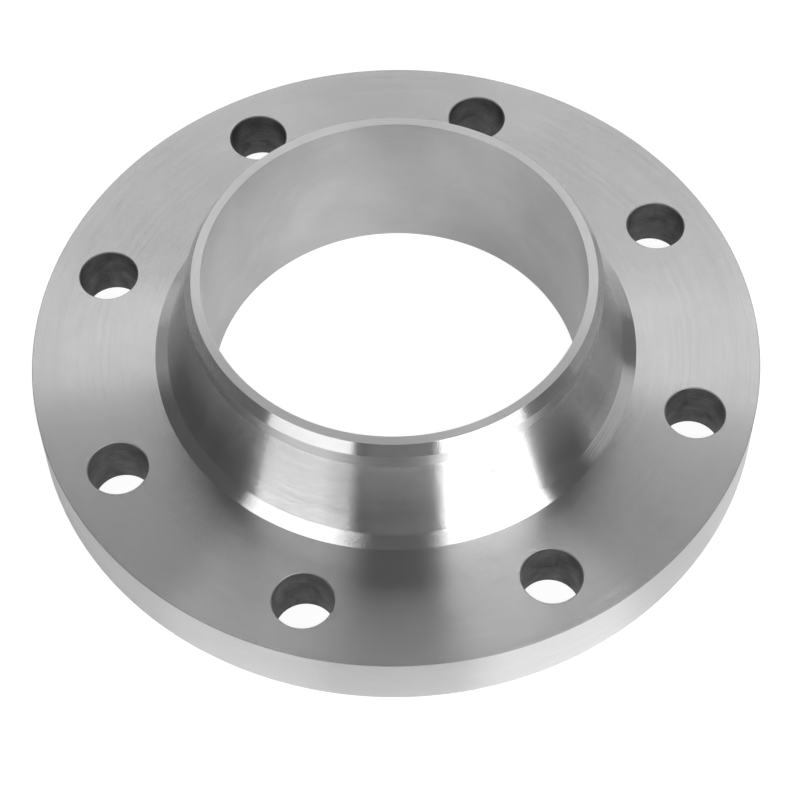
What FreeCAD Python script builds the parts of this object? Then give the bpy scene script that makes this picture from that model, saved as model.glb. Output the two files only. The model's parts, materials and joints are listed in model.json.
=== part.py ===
"""Weld neck pipe flange, DN 150 with PN 16 drilling: one forging, turned and drilled.

Millimetres and degrees. The origin is the centre of the gasket face, and +Z runs
along the bore towards the weld end. The bolt holes straddle the X and Y axes.
"""
import FreeCAD, Part
import os
import Sketcher

# Driving dimensions. The plan sizes build up outwards from the pipe, so the bolt
# holes keep their room beside the hub and inside the rim when the pipe changes.
SIZES = [
    ("pipe_diameter", 159.0, "outside of the pipe, and so of the neck"),
    ("pipe_wall", 6.3, "wall of the pipe, so that the two bores are flush"),
    ("overall_height", 69.5, "gasket face to weld end"),
    ("plate_thickness", 24.5, "gasket face to nut face"),
    ("root_face_width", 3.65, "flat land left at the weld end"),
    ("bevel_angle", 30.0, "weld bevel, from the axis"),
    ("neck_length", 11.0, "straight neck below the weld end, bevel included"),
    ("hub_spread", 14.8, "radius gained from the neck to the foot of the hub"),
    ("foot_width", 5.0, "shallow cone round the foot of the hub, radially"),
    ("foot_rise", 3.0, "height of that cone above the nut face"),
    ("nut_room", 25.7, "foot of the hub to a bolt hole's centre"),
    ("rim_room", 22.5, "bolt hole's centre to the rim"),
    ("bolt_hole_diameter", 23.0, "for M20 bolts"),
    ("bolt_count", 8, "a multiple of four"),
    ("rim_chamfer", 0.2, "edge break on both corners of the rim and on the bore"),
    ("nut_side_chamfer", 0.4, "edge break of the holes in the nut face"),
    ("gasket_side_chamfer", 1.0, "chamfer of the holes in the gasket face"),
]

NECK_RADIUS = "Sizes.pipe_diameter / 2"
BORE_RADIUS = f"({NECK_RADIUS} - Sizes.pipe_wall)"
HUB_RADIUS = f"({NECK_RADIUS} + Sizes.hub_spread)"
BOLT_RADIUS = f"({HUB_RADIUS} + Sizes.nut_room)"
RIM_RADIUS = f"({BOLT_RADIUS} + Sizes.rim_room)"
BEVEL_WIDTH = "(Sizes.pipe_wall - Sizes.root_face_width)"
BEVEL_HEIGHT = f"({BEVEL_WIDTH} / tan(Sizes.bevel_angle * 1 deg))"
HOLE_RADIUS = "Sizes.bolt_hole_diameter / 2"
HOLES_VOLUME = f"Sizes.bolt_count * pi * ({HOLE_RADIUS}) ^ 2 * Sizes.plate_thickness"

# Corners of the half section as (radius, height), starting where the bore meets
# the gasket face and going round the outside.
SECTION = [
    (BORE_RADIUS, "0"),
    (RIM_RADIUS, "0"),
    (RIM_RADIUS, "Sizes.plate_thickness"),
    (HUB_RADIUS, "Sizes.plate_thickness"),
    (f"{HUB_RADIUS} - Sizes.foot_width", "Sizes.plate_thickness + Sizes.foot_rise"),
    (NECK_RADIUS, "Sizes.overall_height - Sizes.neck_length"),
    (NECK_RADIUS, f"Sizes.overall_height - {BEVEL_HEIGHT}"),
    (f"{BORE_RADIUS} + Sizes.root_face_width", "Sizes.overall_height"),
    (BORE_RADIUS, "Sizes.overall_height"),
]

# Names that the Sketcher gives its own elements, as (geometry, point).
ORIGIN = (-1, 1)
HORIZONTAL_AXIS = -1
START, END, CENTRE = 1, 2, 3

SAME_PLACE = 1e-4
NEARLY_ALL = 0.999


def make_sheet(doc):
    """Put the driving dimensions in a spreadsheet, one aliased cell each."""
    sheet = doc.addObject("Spreadsheet::Sheet", "Sizes")
    for row, (alias, value, note) in enumerate(SIZES, start=1):
        sheet.set(f"A{row}", alias)
        sheet.set(f"B{row}", str(value))
        sheet.set(f"C{row}", note)
        sheet.setAlias(f"B{row}", alias)
    doc.recompute()
    return sheet


def origin_feature(body, role):
    """One of the body's own origin planes or axes, such as XY_Plane or Z_Axis."""
    return next(item for item in body.Origin.OriginFeatures if item.Role == role)


def new_sketch(body, name, plane_role):
    """An empty sketch on one of the body's origin planes."""
    sketch = body.newObject("Sketcher::SketchObject", name)
    sketch.AttachmentSupport = (origin_feature(body, plane_role), "")
    sketch.MapMode = "FlatFace"
    return sketch


def drive(sketch, name, expression, kind, *elements):
    """Add a named constraint that follows an expression of the sheet's cells."""
    value = float(sketch.evalExpression(expression))
    index = sketch.addConstraint(Sketcher.Constraint(kind, *elements, value))
    sketch.renameConstraint(index, name)
    sketch.setExpression(f"Constraints.{name}", expression)


def draw_section(body):
    """The half section: a closed outline with each corner placed by the sheet."""
    sketch = new_sketch(body, "HalfSection", "XZ_Plane")
    corners = []
    for radius, height in SECTION:
        place = (sketch.evalExpression(radius), sketch.evalExpression(height))
        corners.append(FreeCAD.Vector(*place, 0))
    for start, end in zip(corners, corners[1:] + corners[:1]):
        sketch.addGeometry(Part.LineSegment(start, end))
    for line, (radius, height) in enumerate(SECTION):
        following = (line + 1) % len(SECTION)
        sketch.addConstraint(
            Sketcher.Constraint("Coincident", line, END, following, START))
        drive(sketch, f"radius_{line}", radius, "DistanceX", *ORIGIN, line, START)
        if height == "0":
            sketch.addConstraint(
                Sketcher.Constraint("PointOnObject", line, START, HORIZONTAL_AXIS))
        else:
            drive(sketch, f"height_{line}", height, "DistanceY", *ORIGIN, line, START)
    return sketch


def turn_blank(body, doc):
    """Turn plate, hub, neck and bore in one revolution about Z."""
    blank = body.newObject("PartDesign::Revolution", "Blank")
    blank.Profile = draw_section(body)
    blank.ReferenceAxis = (origin_feature(body, "Z_Axis"), [""])
    blank.Angle = 360
    doc.recompute()
    return blank


def drill_bolt_holes(body, doc, blank):
    """Drill one hole through the plate and repeat it round the bolt circle."""
    sketch = new_sketch(body, "HoleCentre", "XY_Plane")
    radius = sketch.evalExpression(BOLT_RADIUS)
    arm = sketch.addGeometry(
        Part.LineSegment(FreeCAD.Vector(0, 0, 0), FreeCAD.Vector(radius, radius, 0)), True)
    circle = sketch.addGeometry(
        Part.Circle(FreeCAD.Vector(radius, radius, 0), FreeCAD.Vector(0, 0, 1), 1))
    sketch.addConstraint(Sketcher.Constraint("Coincident", arm, START, *ORIGIN))
    sketch.addConstraint(Sketcher.Constraint("Coincident", arm, END, circle, CENTRE))
    drive(sketch, "bolt_radius", BOLT_RADIUS, "Distance", arm)
    drive(sketch, "half_pitch", "180 deg / Sizes.bolt_count", "Angle", arm)
    drive(sketch, "hole_radius", HOLE_RADIUS, "Radius", circle)
    doc.recompute()

    hole = body.newObject("PartDesign::Pocket", "BoltHole")
    hole.Profile = sketch
    hole.Type = "ThroughAll"
    hole.Reversed = True
    doc.recompute()

    pattern = body.newObject("PartDesign::PolarPattern", "BoltCircle")
    pattern.Originals = [hole]
    pattern.Axis = (origin_feature(body, "Z_Axis"), [""])
    pattern.Angle = 360
    pattern.setExpression("Occurrences", "Sizes.bolt_count")
    body.Tip = pattern
    doc.recompute()
    drilled = blank.Shape.Volume - pattern.Shape.Volume
    if drilled < sketch.evalExpression(HOLES_VOLUME) * NEARLY_ALL:
        raise RuntimeError("the bolt holes don't go through the plate")


def circles_at(feature, radius, height):
    """Names of the feature's full circular edges of one radius at one height."""
    names = []
    for number, edge in enumerate(feature.Shape.Edges, start=1):
        if not edge.isClosed() or not hasattr(edge.Curve, "Radius"):
            continue
        same_radius = abs(edge.Curve.Radius - radius) < SAME_PLACE
        if same_radius and abs(edge.Curve.Center.z - height) < SAME_PLACE:
            names.append(f"Edge{number}")
    return names


def chamfer_circles(body, doc, name, size, circles):
    """Chamfer every circular edge named by a (radius, height) pair of expressions."""
    base = body.Tip
    edges = []
    for radius, height in circles:
        where = (base.evalExpression(radius), base.evalExpression(height))
        edges += circles_at(base, *where)
    chamfer = body.newObject("PartDesign::Chamfer", name)
    chamfer.Base = (base, edges)
    chamfer.setExpression("Size", size)
    body.Tip = chamfer
    doc.recompute()


def make_flange(doc):
    """The whole flange, which is a single piece of steel."""
    body = doc.addObject("PartDesign::Body", "Flange")
    body.Label = "flange"
    body.Placement = FreeCAD.Placement()
    blank = turn_blank(body, doc)
    drill_bolt_holes(body, doc, blank)
    chamfer_circles(body, doc, "RimEdges", "Sizes.rim_chamfer", [
        (RIM_RADIUS, "0"),
        (RIM_RADIUS, "Sizes.plate_thickness"),
        (BORE_RADIUS, "0"),
    ])
    chamfer_circles(body, doc, "NutSideEdges", "Sizes.nut_side_chamfer", [
        (HOLE_RADIUS, "Sizes.plate_thickness"),
    ])
    chamfer_circles(body, doc, "GasketSideEdges", "Sizes.gasket_side_chamfer", [
        (HOLE_RADIUS, "0"),
    ])
    return body


def check(doc, bodies):
    """Stop if any object failed or any sub-part has no sound solid."""
    for item in doc.Objects:
        if {"Invalid", "Error"} & set(item.State):
            raise RuntimeError(f"{item.Name} failed: {item.State}")
    for body in bodies:
        if body.Shape.isNull() or not body.Shape.isValid():
            raise RuntimeError(f"{body.Label} has no valid shape")
        print(f"{body.Label}: {len(body.Shape.Solids)} solid, {body.Shape.Volume:.0f} mm3")


def main():
    doc = FreeCAD.newDocument("WeldNeckFlange")
    make_sheet(doc)
    bodies = [make_flange(doc)]
    doc.recompute()
    check(doc, bodies)
    os.makedirs("parts", exist_ok=True)
    for body in bodies:
        body.Shape.exportStep(f"parts/{body.Label}.step")


main()
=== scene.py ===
import bpy
import json
import math
from mathutils import Matrix, Vector


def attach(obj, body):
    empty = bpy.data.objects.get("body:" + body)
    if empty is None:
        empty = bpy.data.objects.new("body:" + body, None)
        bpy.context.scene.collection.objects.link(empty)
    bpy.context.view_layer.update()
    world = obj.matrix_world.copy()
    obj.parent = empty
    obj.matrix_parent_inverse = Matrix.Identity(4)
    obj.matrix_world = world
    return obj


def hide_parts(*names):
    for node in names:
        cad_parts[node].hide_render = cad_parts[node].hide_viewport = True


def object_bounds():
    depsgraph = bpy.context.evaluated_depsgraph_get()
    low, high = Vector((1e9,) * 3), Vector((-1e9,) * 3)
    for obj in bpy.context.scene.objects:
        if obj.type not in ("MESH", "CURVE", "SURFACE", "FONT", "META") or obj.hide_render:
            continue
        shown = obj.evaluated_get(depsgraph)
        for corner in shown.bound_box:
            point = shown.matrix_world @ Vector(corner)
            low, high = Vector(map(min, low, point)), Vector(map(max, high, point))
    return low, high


# Weld neck flange, in metres. One forged piece, turned all over and drilled.
# +Z runs along the bore towards the weld end, and the gasket face lies at z = 0.

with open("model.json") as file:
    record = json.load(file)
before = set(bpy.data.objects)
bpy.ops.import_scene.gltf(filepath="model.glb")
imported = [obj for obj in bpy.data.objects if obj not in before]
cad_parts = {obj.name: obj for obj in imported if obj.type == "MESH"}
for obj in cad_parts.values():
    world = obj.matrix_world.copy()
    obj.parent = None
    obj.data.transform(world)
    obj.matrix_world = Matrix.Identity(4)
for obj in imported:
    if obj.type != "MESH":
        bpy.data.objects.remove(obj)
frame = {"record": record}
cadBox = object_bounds()
mountOf = {mount["name"]: mount for mount in frame["record"]["mounts"]}
mm = 0.001
print("frame loaded")


def feed(tree, socket, value):
    if isinstance(value, bpy.types.NodeSocket):
        tree.links.new(value, socket)
    else:
        socket.default_value = value


def newNode(tree, kind, inputs=None, **settings):
    node = tree.nodes.new(kind)
    for name, value in settings.items():
        setattr(node, name, value)
    for name, value in (inputs or {}).items():
        feed(tree, node.inputs[name], value)
    return node


def calc(tree, operation, *values):
    node = newNode(tree, "ShaderNodeMath", operation=operation)
    for index, value in enumerate(values):
        feed(tree, node.inputs[index], value)
    return node.outputs[0]


def vectorCalc(tree, operation, *values):
    node = newNode(tree, "ShaderNodeVectorMath", operation=operation)
    for index, value in enumerate(values):
        feed(tree, node.inputs[index], value)
    return node.outputs["Vector"]


def lengthOf(tree, vector):
    node = newNode(tree, "ShaderNodeVectorMath", {0: vector}, operation="LENGTH")
    return node.outputs["Value"]


def joinXYZ(tree, x=0.0, y=0.0, z=0.0):
    return newNode(tree, "ShaderNodeCombineXYZ", {"X": x, "Y": y, "Z": z}).outputs[0]


def mixValues(tree, factor, low, high):
    return newNode(tree, "ShaderNodeMix", {"Factor": factor, "A": low, "B": high}).outputs["Result"]


def greyColor(tree, value):
    node = newNode(tree, "ShaderNodeCombineColor", {"Red": value, "Green": value, "Blue": value})
    return node.outputs[0]


def makeNoise(tree, place, scale, detail, roughness, distortion=0.0):
    # A place that is a single number gives noise along a line.
    onLine = place.type == "VALUE"
    socket = "W" if onLine else "Vector"
    node = newNode(tree, "ShaderNodeTexNoise", {
        socket: place, "Scale": scale, "Detail": detail, "Roughness": roughness, "Distortion": distortion,
    }, noise_dimensions="1D" if onLine else "3D")
    return node.outputs["Fac"]


def polar(radius, angle, height):
    return Vector((radius * math.cos(angle), radius * math.sin(angle), height))


def showObject(name, data):
    item = bpy.data.objects.new(name, data)
    bpy.context.scene.collection.objects.link(item)
    return item


# What a user would change about the flange. The first rows come from the frame.
flange = {
    "rimRadius": cadBox[1].x,
    "height": cadBox[1].z,
    "plateThickness": mountOf["nut_face"]["pos_m"][2],
    "boreRadius": mountOf["bore"]["dims"]["r_mm"] * mm,
    "boltCircleRadius": mountOf["bolt_circle"]["dims"]["pcd_mm"] / 2 * mm,
    "holeRadius": mountOf["bolt_circle"]["dims"]["hole_r_mm"] * mm,
    "holeCount": mountOf["bolt_circle"]["dims"]["count"],
    "pipeWall": 6.3 * mm,
    "rootFace": 3.65 * mm,
    "bevelAngle": math.radians(30),  # from the axis
    "neckLength": 11 * mm,           # straight neck, bevel included
    "hubSpread": 14.8 * mm,
    "footWidth": 5 * mm,             # the shallow cone round the foot of the hub
    "footRise": 3 * mm,
    "rimChamfer": 0.2 * mm,
    "nutSideChamfer": 0.4 * mm,
    "gasketSideChamfer": 1 * mm,
    "edgeRadius": 0.12 * mm,         # what is left on every turned corner
    "segments": 360,
    "holeSides": 96,
    "cutterOverlap": 1 * mm,         # how far the countersinks reach past what they cut
    "finishDepth": 0.02 * mm,        # how thin a skin still counts as part of a flat face
}

# What all the turned surfaces share, and what handling has left on them.
turning = {
    "steepest": 3.0,                 # how many tilts the steepest torn ridge leans, to either side
    "bandScale": 420.0,              # per metre along the section
    "streakScale": 1600.0,           # per metre along the section
    "streakTurns": 9.0,              # higher makes the streaks shorter round the axis
}
handling = {
    "cloudScale": 22.0,
    "cloudGloss": 0.01,              # how far the clouds move the roughness, to either side
    "rubScale": (40.0, 900.0, 300.0),
    "rubTurn": (0.2, 0.1, 0.7),
    "rubRange": (0.66, 0.80),        # only the peaks of the noise show as rubs
    "rubShine": 0.04,
}

# How each machined surface is finished. across and along say how far the tool steps with radius and
# with height, so that its marks follow the surface. pitch is the step from ridge to ridge, and evenness
# runs from 0, a torn surface, to 1, a clean spiral groove. tilt is how far the ridges lean, as a slope.
# bands, streaks and clouds say how much each pattern moves the tone, and cloudScale makes clouds finer.
finishes = {
    "gasketFace": {
        "color": 0.56, "roughness": 0.32, "anisotropy": 1.0,
        "across": 1, "along": 0, "pitch": 0.8 * mm, "evenness": 0.8, "tilt": 0.10,
        "bands": 0.05, "streaks": 0.1, "clouds": 0.1},
    "rim": {
        "color": 0.56, "roughness": 0.28, "anisotropy": 1.0,
        "across": 0, "along": 1, "pitch": 0.08 * mm, "evenness": 0.0, "tilt": 0.4,
        "bands": 0.04, "streaks": 0.1, "clouds": 0.08},
    "nutFace": {
        "color": 0.57, "roughness": 0.23, "anisotropy": 1.0,
        "across": 1, "along": 0, "pitch": 0.06 * mm, "evenness": 0.0, "tilt": 0.3,
        "bands": 0.02, "streaks": 0.05, "clouds": 0.12},
    "brokenEdge": {
        "color": 0.3, "roughness": 0.7, "anisotropy": 0.0,
        "across": 1, "along": 1, "pitch": 0.2 * mm, "evenness": 0.0, "tilt": 0.1,
        "bands": 0.05, "streaks": 0.1, "clouds": 0.1},
    "hub": {
        "color": 0.71, "roughness": 0.26, "anisotropy": 1.0,
        "across": 0.3, "along": 1, "pitch": 0.06 * mm, "evenness": 0.0, "tilt": 0.4,
        "bands": 0.05, "streaks": 0.13, "clouds": 0.18},
    "neck": {
        "color": 0.62, "roughness": 0.38, "anisotropy": 1.0,
        "across": 0, "along": 1, "pitch": 0.06 * mm, "evenness": 0.0, "tilt": 0.25,
        "bands": 0.04, "streaks": 0.15, "clouds": 0.12},
    "cutEdge": {
        "color": 0.64, "roughness": 0.21, "anisotropy": 1.0,
        "across": 0.5, "along": 1, "pitch": 0.05 * mm, "evenness": 0.0, "tilt": 0.12,
        "bands": 0.02, "streaks": 0.05, "clouds": 0.06},
    "rootFace": {
        "color": 0.62, "roughness": 0.32, "anisotropy": 0.8,
        "across": 1, "along": 0, "pitch": 0.1 * mm, "evenness": 0.0, "tilt": 0.1,
        "bands": 0.04, "streaks": 0.1, "clouds": 0.1},
    "bore": {
        "color": 0.52, "roughness": 0.34, "anisotropy": 0.7,
        "across": 0, "along": 1, "pitch": 0.1 * mm, "evenness": 0.0, "tilt": 0.1,
        "bands": 0.02, "streaks": 0.06, "clouds": 0.3},
    # The drilled walls' dark grey is partly the duller steel a drill leaves and partly painted shade for
    # the inside of the holes. The gasket-side countersinks take it too.
    "drilledAndShaded": {
        "color": 0.20, "roughness": 0.50, "anisotropy": 0.0,
        "across": 0, "along": 1, "pitch": 0.3 * mm, "evenness": 0.3, "tilt": 0.15,
        "bands": 0.2, "streaks": 0.3, "clouds": 0.9, "cloudScale": 130.0},
}


def makeGroup(name, inputs, outputs):
    group = bpy.data.node_groups.new(name, "ShaderNodeTree")
    for label, value in inputs.items():
        socket = group.interface.new_socket(label, in_out="INPUT", socket_type="NodeSocketFloat")
        socket.default_value = value
    for label, kind in outputs.items():
        group.interface.new_socket(label, in_out="OUTPUT", socket_type=kind)
    return group, newNode(group, "NodeGroupInput").outputs, newNode(group, "NodeGroupOutput").inputs


def makeTurningMarks():
    # What a lathe tool leaves. Its ridges tilt the surface to and fro across the cut and never along it,
    # which draws the light out into fans. Bands are slow changes of tone, and Streaks are short arcs.
    group, given, result = makeGroup(
        "turningMarks",
        {"Across": 1.0, "Along": 0.0, "Pitch": 0.3 * mm, "Evenness": 0.0, "Tilt": 0.2},
        {"Normal": "NodeSocketVector", "Bands": "NodeSocketFloat", "Streaks": "NodeSocketFloat"})
    place = newNode(group, "ShaderNodeTexCoord").outputs["Object"]
    parts = newNode(group, "ShaderNodeSeparateXYZ", {"Vector": place}).outputs
    radius = lengthOf(group, joinXYZ(group, parts["X"], parts["Y"]))
    angle = calc(group, "ARCTAN2", parts["Y"], parts["X"])
    travel = calc(group, "ADD", calc(group, "MULTIPLY", radius, given["Across"]),
                  calc(group, "MULTIPLY", parts["Z"], given["Along"]))
    turns = calc(group, "DIVIDE", travel, given["Pitch"])

    # How far a ridge leans: evenly, as along a spiral groove, or unevenly, as where the chip tore.
    even = calc(group, "COSINE", calc(group, "MULTIPLY_ADD", turns, 2 * math.pi, angle))
    torn = makeNoise(group, turns, 1.0, 4.0, 0.8)
    steepest = turning["steepest"]
    uneven = calc(group, "MULTIPLY_ADD", torn, 2 * steepest, -steepest)
    lean = calc(group, "MULTIPLY", mixValues(group, given["Evenness"], uneven, even), given["Tilt"])

    # The direction across the cut, within the surface, and the surface leaned that way.
    facing = newNode(group, "ShaderNodeNewGeometry").outputs["Normal"]
    alongCut = vectorCalc(group, "CROSS_PRODUCT", place, (0, 0, 1))
    acrossCut = vectorCalc(group, "NORMALIZE", vectorCalc(group, "CROSS_PRODUCT", alongCut, facing))
    shift = newNode(group, "ShaderNodeVectorMath", {0: acrossCut, "Scale": lean}, operation="SCALE")
    leaning = vectorCalc(group, "ADD", facing, shift.outputs["Vector"])
    feed(group, result["Normal"], vectorCalc(group, "NORMALIZE", leaning))

    feed(group, result["Bands"], makeNoise(group, travel, turning["bandScale"], 3.0, 0.6))
    # Noise drawn out round the axis, with no seam where the angle wraps.
    arcs = joinXYZ(group,
                   calc(group, "MULTIPLY", calc(group, "COSINE", angle), turning["streakTurns"]),
                   calc(group, "MULTIPLY", calc(group, "SINE", angle), turning["streakTurns"]),
                   calc(group, "MULTIPLY", travel, turning["streakScale"]))
    feed(group, result["Streaks"], makeNoise(group, arcs, 1.0, 3.0, 0.6))
    return group


def makeHandling():
    # Faint clouds where oil was wiped off by hand, and short rubs.
    group, given, result = makeGroup(
        "handling", {"Scale": handling["cloudScale"]},
        {"Clouds": "NodeSocketFloat", "Rubs": "NodeSocketFloat"})
    place = newNode(group, "ShaderNodeTexCoord").outputs["Object"]
    feed(group, result["Clouds"], makeNoise(group, place, given["Scale"], 4.0, 0.55, distortion=0.4))
    drawnOut = newNode(group, "ShaderNodeMapping", {
        "Vector": place, "Rotation": handling["rubTurn"], "Scale": handling["rubScale"]}).outputs["Vector"]
    start, end = handling["rubRange"]
    rubs = newNode(group, "ShaderNodeMapRange", {
        "Value": makeNoise(group, drawnOut, 1.0, 2.0, 0.5), "From Min": start, "From Max": end})
    feed(group, result["Rubs"], rubs.outputs["Result"])
    return group


def makeFinish(name, finish, marksGroup, wearGroup):
    material = bpy.data.materials.new(name)
    material.use_nodes = True
    tree = material.node_tree
    tree.nodes.clear()
    marks = newNode(tree, "ShaderNodeGroup", node_tree=marksGroup)
    for label in ("Across", "Along", "Pitch", "Evenness", "Tilt"):
        feed(tree, marks.inputs[label], finish[label.lower()])
    wear = newNode(tree, "ShaderNodeGroup", node_tree=wearGroup)
    feed(tree, wear.inputs["Scale"], finish.get("cloudScale", handling["cloudScale"]))

    # The base grey, made a little lighter and darker by what the tool and the hands left.
    grey = finish["color"]
    for pattern, share in ((marks.outputs["Bands"], finish["bands"]),
                           (marks.outputs["Streaks"], finish["streaks"]),
                           (wear.outputs["Clouds"], finish["clouds"])):
        grey = calc(tree, "MULTIPLY", grey, calc(tree, "MULTIPLY_ADD", pattern, 2 * share, 1 - share))
    shine = calc(tree, "MULTIPLY_ADD", wear.outputs["Rubs"], handling["rubShine"], 1.0)
    grey = calc(tree, "MULTIPLY", grey, shine)
    gloss = handling["cloudGloss"]
    roughness = calc(tree, "MULTIPLY_ADD", wear.outputs["Clouds"], 2 * gloss, finish["roughness"] - gloss)

    # A quarter turn stretches the highlights across the marks.
    tangent = newNode(tree, "ShaderNodeTangent", direction_type="RADIAL", axis="Z").outputs[0]
    shader = newNode(tree, "ShaderNodeBsdfPrincipled", {
        "Base Color": greyColor(tree, grey), "Metallic": 1.0, "Roughness": roughness,
        "Normal": marks.outputs["Normal"], "Anisotropic": finish["anisotropy"],
        "Anisotropic Rotation": 0.25, "Tangent": tangent})
    output = newNode(tree, "ShaderNodeOutputMaterial")
    tree.links.new(shader.outputs[0], output.inputs["Surface"])
    return material


def plus(tree, a, b):
    return calc(tree, "ADD", a, b)


def minus(tree, a, b):
    return calc(tree, "SUBTRACT", a, b)


def sectionHeights(tree, size):
    # The heights where the section turns a corner, and where one finish gives way to the next.
    return {
        "footTop": plus(tree, size["Plate Thickness"], size["Foot Rise"]),
        "neckBottom": minus(tree, size["Height"], size["Neck Length"]),
        "bevelBottom": minus(tree, size["Height"], size["Bevel Height"]),
        "rimTop": minus(tree, size["Plate Thickness"], size["Rim Chamfer"]),
    }


def turnSection(tree, size, heights):
    # Corners of the half section as (radius, height), round the outside and back up the bore.
    top = size["Height"]
    plate = size["Plate Thickness"]
    bore = size["Bore Radius"]
    rim = size["Rim Radius"]
    chamfer = size["Rim Chamfer"]
    rimFlat = minus(tree, rim, chamfer)
    hub = size["Hub Radius"]
    neck = size["Neck Radius"]
    corners = [
        (bore, chamfer), (plus(tree, bore, chamfer), 0.0),
        (rimFlat, 0.0), (rim, chamfer),
        (rim, heights["rimTop"]), (rimFlat, plate),
        (hub, plate), (minus(tree, hub, size["Foot Width"]), heights["footTop"]),
        (neck, heights["neckBottom"]), (neck, heights["bevelBottom"]),
        (plus(tree, bore, size["Root Face"]), top), (bore, top),
    ]
    pick = newNode(tree, "GeometryNodeIndexSwitch", data_type="VECTOR")
    while len(pick.index_switch_items) < len(corners):
        pick.index_switch_items.new()
    feed(tree, pick.inputs["Index"], newNode(tree, "GeometryNodeInputIndex").outputs[0])
    for index, (radius, height) in enumerate(corners):
        # The sweep measures the section outwards and downwards from the circle it follows.
        place = joinXYZ(tree, minus(tree, radius, rim), minus(tree, 0.0, height))
        tree.links.new(place, pick.inputs[1 + index])
    points = newNode(tree, "GeometryNodePoints", {"Count": len(corners), "Position": pick.outputs[0]})
    line = newNode(tree, "GeometryNodePointsToCurves", {"Points": points.outputs[0]})
    loop = newNode(tree, "GeometryNodeSetSplineCyclic", {"Geometry": line.outputs[0], "Cyclic": True})
    section = newNode(tree, "GeometryNodeFilletCurve", {
        "Curve": loop.outputs[0], "Radius": size["Edge Radius"], "Count": 2,
        "Limit Radius": True}, mode="POLY")
    circle = newNode(tree, "GeometryNodeCurvePrimitiveCircle", {
        "Resolution": size["Segments"], "Radius": rim})
    turned = newNode(tree, "GeometryNodeCurveToMesh", {
        "Curve": circle.outputs[0], "Profile Curve": section.outputs[0]})
    return turned.outputs[0]


def giveFinishes(tree, size, heights, turned):
    # From the gasket face upwards, each finish starts where the last one ends. The bore comes last.
    spot = newNode(tree, "GeometryNodeInputPosition").outputs[0]
    where = newNode(tree, "ShaderNodeSeparateXYZ", {"Vector": spot}).outputs
    radius = lengthOf(tree, joinXYZ(tree, where["X"], where["Y"]))
    skin = flange["finishDepth"]
    plate = size["Plate Thickness"]
    below = -1.0
    starts = [
        ("gasketFace", below), ("brokenEdge", skin), ("rim", size["Rim Chamfer"]),
        ("brokenEdge", heights["rimTop"]), ("nutFace", minus(tree, plate, skin)),
        ("cutEdge", plus(tree, plate, skin)), ("hub", heights["footTop"]), ("neck", heights["neckBottom"]),
        ("cutEdge", heights["bevelBottom"]), ("rootFace", minus(tree, size["Height"], skin)),
    ]
    areas = [(name, calc(tree, "GREATER_THAN", where["Z"], start)) for name, start in starts]
    areas.append(("bore", calc(tree, "LESS_THAN", radius, plus(tree, size["Bore Radius"], skin))))
    for name, area in areas:
        turned = newNode(tree, "GeometryNodeSetMaterial", {
            "Geometry": turned, "Selection": area, "Material": size[name]}).outputs[0]
    return turned


def drillHoles(tree, size, turned):
    # One drill and its two countersinks, repeated round the bolt circle and cut away.
    overlap = flange["cutterOverlap"]
    sides = flange["holeSides"]
    plate = size["Plate Thickness"]
    hole = size["Hole Radius"]
    drill = newNode(tree, "GeometryNodeMeshCylinder", {
        "Vertices": sides, "Radius": hole, "Depth": calc(tree, "MULTIPLY", plate, 4.0)})
    # The drill's wall and the gasket-side countersinks get the dark drilled grey, which is partly painted
    # shade.
    tools = [(drill.outputs["Mesh"], 0.0, "drilledAndShaded")]
    for side, finish in (("Gasket Side Chamfer", "drilledAndShaded"), ("Nut Side Chamfer", "brokenEdge")):
        # A 45 degree cone, from just outside the face to just inside the hole's wall.
        wide = plus(tree, plus(tree, hole, size[side]), overlap)
        narrow = minus(tree, hole, overlap)
        depth = minus(tree, wide, narrow)
        if side == "Gasket Side Chamfer":
            ends = (wide, narrow)
            foot = -overlap
        else:
            ends = (narrow, wide)
            foot = plus(tree, minus(tree, plate, depth), overlap)
        cone = newNode(tree, "GeometryNodeMeshCone", {
            "Vertices": sides, "Depth": depth, "Radius Bottom": ends[0], "Radius Top": ends[1]})
        tools.append((cone.outputs["Mesh"], foot, finish))

    boltCircle = newNode(tree, "GeometryNodeMeshCircle", {
        "Vertices": size["Hole Count"], "Radius": size["Bolt Circle Radius"]})
    halfPitch = joinXYZ(tree, z=calc(tree, "DIVIDE", math.pi, size["Hole Count"]))
    centres = newNode(tree, "GeometryNodeTransform", {
        "Geometry": boltCircle.outputs[0], "Rotation": halfPitch}).outputs[0]
    cut = newNode(tree, "GeometryNodeMeshBoolean", {"Mesh 1": turned},
                  operation="DIFFERENCE", solver="EXACT")
    for tool, lift, finish in tools:
        raised = newNode(tree, "GeometryNodeTransform", {
            "Geometry": tool, "Translation": joinXYZ(tree, z=lift)}).outputs[0]
        finished = newNode(tree, "GeometryNodeSetMaterial", {
            "Geometry": raised, "Material": size[finish]}).outputs[0]
        ring = newNode(tree, "GeometryNodeInstanceOnPoints", {
            "Points": centres, "Instance": finished}).outputs[0]
        solid = newNode(tree, "GeometryNodeRealizeInstances", {"Geometry": ring}).outputs[0]
        tree.links.new(solid, cut.inputs["Mesh 2"])
    return cut.outputs["Mesh"]


def shadeCorners(tree, mesh):
    # Turned surfaces run smoothly round the axis and break at every corner of the section.
    smooth = newNode(tree, "GeometryNodeSetShadeSmooth", {"Geometry": mesh, "Shade Smooth": True},
                     domain="FACE").outputs[0]
    angle = newNode(tree, "GeometryNodeInputMeshEdgeAngle").outputs["Unsigned Angle"]
    corner = calc(tree, "GREATER_THAN", angle, math.radians(5))
    return newNode(tree, "GeometryNodeSetShadeSmooth", {
        "Geometry": smooth, "Selection": corner, "Shade Smooth": False}, domain="EDGE").outputs[0]


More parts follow.
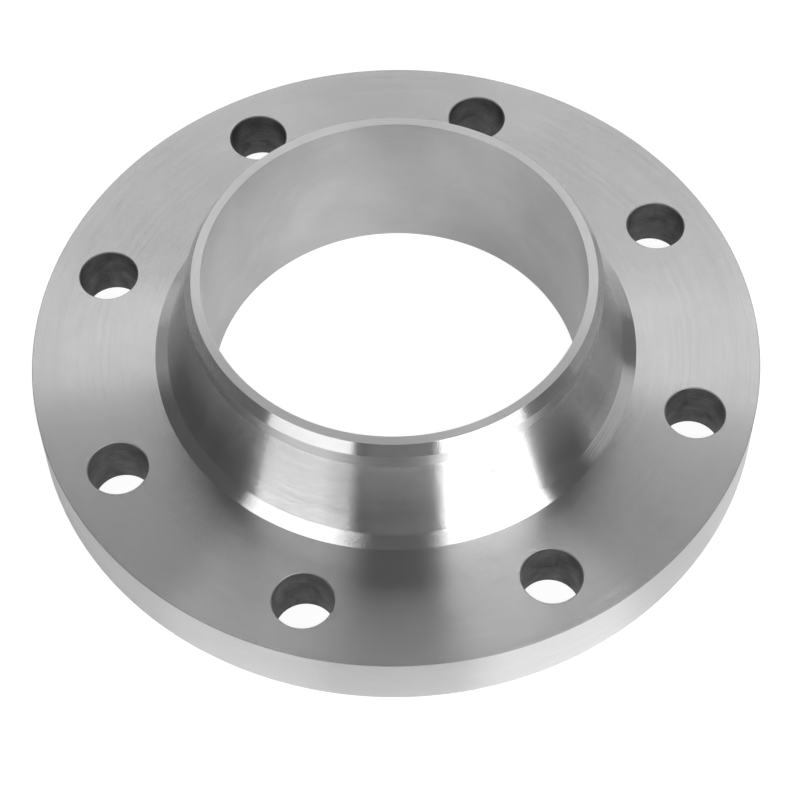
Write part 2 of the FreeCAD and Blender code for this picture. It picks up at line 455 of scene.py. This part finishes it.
def makeFlangeTree(sizes, counts):
    tree = bpy.data.node_groups.new("turnedFlange", "GeometryNodeTree")
    kinds = {"NodeSocketFloat": sizes, "NodeSocketInt": counts, "NodeSocketMaterial": finishes}
    sockets = {}
    for kind, names in kinds.items():
        for name in names:
            sockets[name] = tree.interface.new_socket(name, in_out="INPUT", socket_type=kind)
    tree.interface.new_socket("Geometry", in_out="OUTPUT", socket_type="NodeSocketGeometry")
    size = newNode(tree, "NodeGroupInput").outputs
    heights = sectionHeights(tree, size)
    turned = turnSection(tree, size, heights)
    finished = giveFinishes(tree, size, heights, turned)
    shaded = shadeCorners(tree, drillHoles(tree, size, finished))
    whole = newNode(tree, "GeometryNodeRealizeInstances", {"Geometry": shaded}).outputs[0]
    result = newNode(tree, "NodeGroupOutput")
    tree.links.new(whole, result.inputs["Geometry"])
    return tree, sockets


def makeFlange(materials):
    bevelWidth = flange["pipeWall"] - flange["rootFace"]
    neckRadius = flange["boreRadius"] + flange["pipeWall"]
    sizes = {
        "Rim Radius": flange["rimRadius"],
        "Height": flange["height"],
        "Plate Thickness": flange["plateThickness"],
        "Bore Radius": flange["boreRadius"],
        "Root Face": flange["rootFace"],
        "Neck Radius": neckRadius,
        "Neck Length": flange["neckLength"],
        "Bevel Height": bevelWidth / math.tan(flange["bevelAngle"]),
        "Hub Radius": neckRadius + flange["hubSpread"],
        "Foot Width": flange["footWidth"],
        "Foot Rise": flange["footRise"],
        "Rim Chamfer": flange["rimChamfer"],
        "Edge Radius": flange["edgeRadius"],
        "Bolt Circle Radius": flange["boltCircleRadius"],
        "Hole Radius": flange["holeRadius"],
        "Nut Side Chamfer": flange["nutSideChamfer"],
        "Gasket Side Chamfer": flange["gasketSideChamfer"],
    }
    counts = {"Hole Count": flange["holeCount"], "Segments": flange["segments"]}
    tree, sockets = makeFlangeTree(sizes, counts)
    blank = showObject("flangeBlank", bpy.data.meshes.new("flangeBlank"))
    modifier = blank.modifiers.new("turnedFlange", "NODES")
    modifier.node_group = tree
    for name, value in {**sizes, **counts, **materials}.items():
        modifier[sockets[name].identifier] = value
    view = bpy.context.evaluated_depsgraph_get()
    mesh = bpy.data.meshes.new_from_object(blank.evaluated_get(view), depsgraph=view)
    blank.modifiers.remove(modifier)
    bpy.data.objects.remove(blank)
    mesh.name = "weldNeckFlange"
    return showObject("weldNeckFlange", mesh)


marksGroup = makeTurningMarks()
wearGroup = makeHandling()
materials = {name: makeFinish(name, finish, marksGroup, wearGroup) for name, finish in finishes.items()}
print("finishes made")
piece = makeFlange(materials)
print("flange made:", len(piece.data.polygons), "faces")


# The studio. Headings are measured round the axis from where the camera stands.
studio = {
    "cameraHeading": math.radians(-95.2),
    "cameraElevation": math.radians(56.1),
    "cameraDistance": 0.924,
    "cameraRoll": math.radians(-1.1),
    "cameraAside": 0.0017,
    "cameraBelow": 0.0226,
    "lens": 105.9,
    "floorRadius": 1.6,
    "floorHeight": 0.05 * mm,        # inside the edge break, so that the gasket face stays below it
    "floorSeen": 0.94,               # the even white that the camera sees
    "floorTint": 0.2,                # a faint grey on top of it, which takes the shadows
    "paperColor": 0.8,
    # How strongly the paper glows: painted light that the flange sees in its reflections.
    "paperGlow": 0.28,
    "paperEdge": (0.18, 0.29),       # where the paper gives way to the darker floor
    "floorShare": 0.12,              # how bright that floor is, as a share of the paper
    "roomLight": 0.11,
}

# Soft boxes: where each stands as seen from the flange and how much of the view it fills, in degrees,
# and how bright its cloth is.
softBoxes = {
    "leftBoxLow": {"heading": -38.2, "rise": 12, "wide": 38.7, "tall": 24, "bright": 2.5},
    "leftBoxTop": {"heading": -49, "rise": 54, "wide": 48, "tall": 24, "bright": 2.6},
    "rightBoxLow": {"heading": 37.3, "rise": 9, "wide": 39.4, "tall": 18, "bright": 1.2},
    "rightBox": {"heading": 39, "rise": 29, "wide": 41.2, "tall": 22, "bright": 10},
    "rightBoxTop": {"heading": 47, "rise": 54, "wide": 50, "tall": 24, "bright": 1.8},
    "backBox": {"heading": 176, "rise": 38, "wide": 76, "tall": 40, "bright": 1.05},
    "backBoxLow": {"heading": 180, "rise": 9, "wide": 100, "tall": 18, "bright": 0.5},
    "frontFill": {"heading": 0, "rise": 26, "wide": 26, "tall": 20, "bright": 0.4},
    "leftFill": {"heading": -128, "rise": 20, "wide": 26, "tall": 30, "bright": 0.25},
    "rightFill": {"heading": 100, "rise": 18, "wide": 32, "tall": 36, "bright": 0.6},
    "underBox": {"heading": 30, "rise": -50, "wide": 50, "tall": 40, "bright": 2.5},
    "underFill": {"heading": 200, "rise": -35, "wide": 60, "tall": 40, "bright": 1.2},
}
softBoxDistance = 1.6


def makeStage():
    mesh = bpy.data.meshes.new("floor")
    r = studio["floorRadius"]
    z = studio["floorHeight"]
    mesh.from_pydata([(-r, -r, z), (r, -r, z), (r, r, z), (-r, r, z)], [], [(0, 1, 2, 3)])
    floor = showObject("floor", mesh)
    material = bpy.data.materials.new("paleFloor")
    material.use_nodes = True
    tree = material.node_tree
    tree.nodes.clear()
    # A sheet of white paper under the flange, on a grey floor. To the camera both are nearly white. To the
    # flange the paper also glows, though it is no lamp: painted light, a pool of it that fades into the
    # floor and shows in the flange's reflections.
    place = newNode(tree, "ShaderNodeTexCoord").outputs["Object"]
    inner, outer = studio["paperEdge"]
    paper = newNode(tree, "ShaderNodeMapRange", {
        "Value": lengthOf(tree, place), "From Min": inner, "From Max": outer,
        "To Min": 1.0, "To Max": studio["floorShare"]}, interpolation_type="SMOOTHSTEP").outputs["Result"]
    seen = newNode(tree, "ShaderNodeLightPath").outputs["Is Camera Ray"]
    paperGrey = calc(tree, "MULTIPLY", paper, studio["paperColor"])
    # Painted light: the paper glows most where it is whitest, a pool of light round the flange.
    paperGlow = calc(tree, "MULTIPLY", paper, studio["paperGlow"])
    shader = newNode(tree, "ShaderNodeBsdfPrincipled", {
        "Base Color": greyColor(tree, mixValues(tree, seen, paperGrey, studio["floorTint"])),
        "Roughness": 0.9, "Specular IOR Level": 0.0, "Emission Color": (1, 1, 1, 1),
        "Emission Strength": mixValues(tree, seen, paperGlow, studio["floorSeen"])})
    # From below the floor isn't there, so that the gasket face can be looked at.
    below = newNode(tree, "ShaderNodeNewGeometry").outputs["Backfacing"]
    clear = newNode(tree, "ShaderNodeBsdfTransparent")
    surface = newNode(tree, "ShaderNodeMixShader", {0: below, 1: shader.outputs[0], 2: clear.outputs[0]})
    output = newNode(tree, "ShaderNodeOutputMaterial")
    tree.links.new(surface.outputs[0], output.inputs["Surface"])
    mesh.materials.append(material)


def makeLights():
    aim = Vector((0, 0, flange["plateThickness"]))
    for name, box in softBoxes.items():
        rise = math.radians(box["rise"])
        heading = studio["cameraHeading"] + math.radians(box["heading"])
        halfWide = math.radians(box["wide"]) / 2
        halfTall = math.radians(box["tall"]) / 2
        light = bpy.data.lights.new(name, "AREA")
        light.shape = "RECTANGLE"
        light.size = 2 * softBoxDistance * math.tan(halfWide) * math.cos(rise)
        light.size_y = 2 * softBoxDistance * math.tan(halfTall)
        light.energy = math.pi * light.size * light.size_y * box["bright"]
        lamp = showObject(name, light)
        towards = polar(math.cos(rise), heading, math.sin(rise))
        level = Vector((-math.sin(heading), math.cos(heading), 0))
        turned = Matrix((level, towards.cross(level), towards)).transposed().to_4x4()
        lamp.matrix_world = Matrix.Translation(aim + towards * softBoxDistance) @ turned
        lamp.visible_camera = False


def makeWorld():
    world = bpy.data.worlds.new("studio")
    bpy.context.scene.world = world
    world.use_nodes = True
    tree = world.node_tree
    tree.nodes.clear()
    seen = newNode(tree, "ShaderNodeLightPath").outputs["Is Camera Ray"]
    room = newNode(tree, "ShaderNodeBackground", {"Color": (1, 1, 1, 1), "Strength": studio["roomLight"]})
    backdrop = newNode(tree, "ShaderNodeBackground", {"Color": (1, 1, 1, 1), "Strength": 1.0})
    mixed = newNode(tree, "ShaderNodeMixShader", {0: seen, 1: room.outputs[0], 2: backdrop.outputs[0]})
    output = newNode(tree, "ShaderNodeOutputWorld")
    tree.links.new(mixed.outputs[0], output.inputs["Surface"])


def makeCamera():
    camera = bpy.data.cameras.new("camera")
    camera.sensor_width = 36
    camera.lens = studio["lens"]
    rig = showObject("camera", camera)
    heading = studio["cameraHeading"]
    elevation = studio["cameraElevation"]
    roll = studio["cameraRoll"]
    back = polar(math.cos(elevation), heading, math.sin(elevation))
    level = Vector((-math.sin(heading), math.cos(heading), 0))
    right = math.cos(roll) * level + math.sin(roll) * back.cross(level)
    up = back.cross(right)
    target = Vector((0, 0, flange["plateThickness"]))
    aside = right * studio["cameraAside"] - up * studio["cameraBelow"]
    place = target + back * studio["cameraDistance"] + aside
    rig.matrix_world = Matrix.Translation(place) @ Matrix((right, up, back)).transposed().to_4x4()
    bpy.context.scene.camera = rig


makeStage()
makeLights()
makeWorld()
makeCamera()
bpy.context.scene.view_settings.view_transform = "Standard"
print("studio made")

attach(piece, "root")
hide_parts("flange")
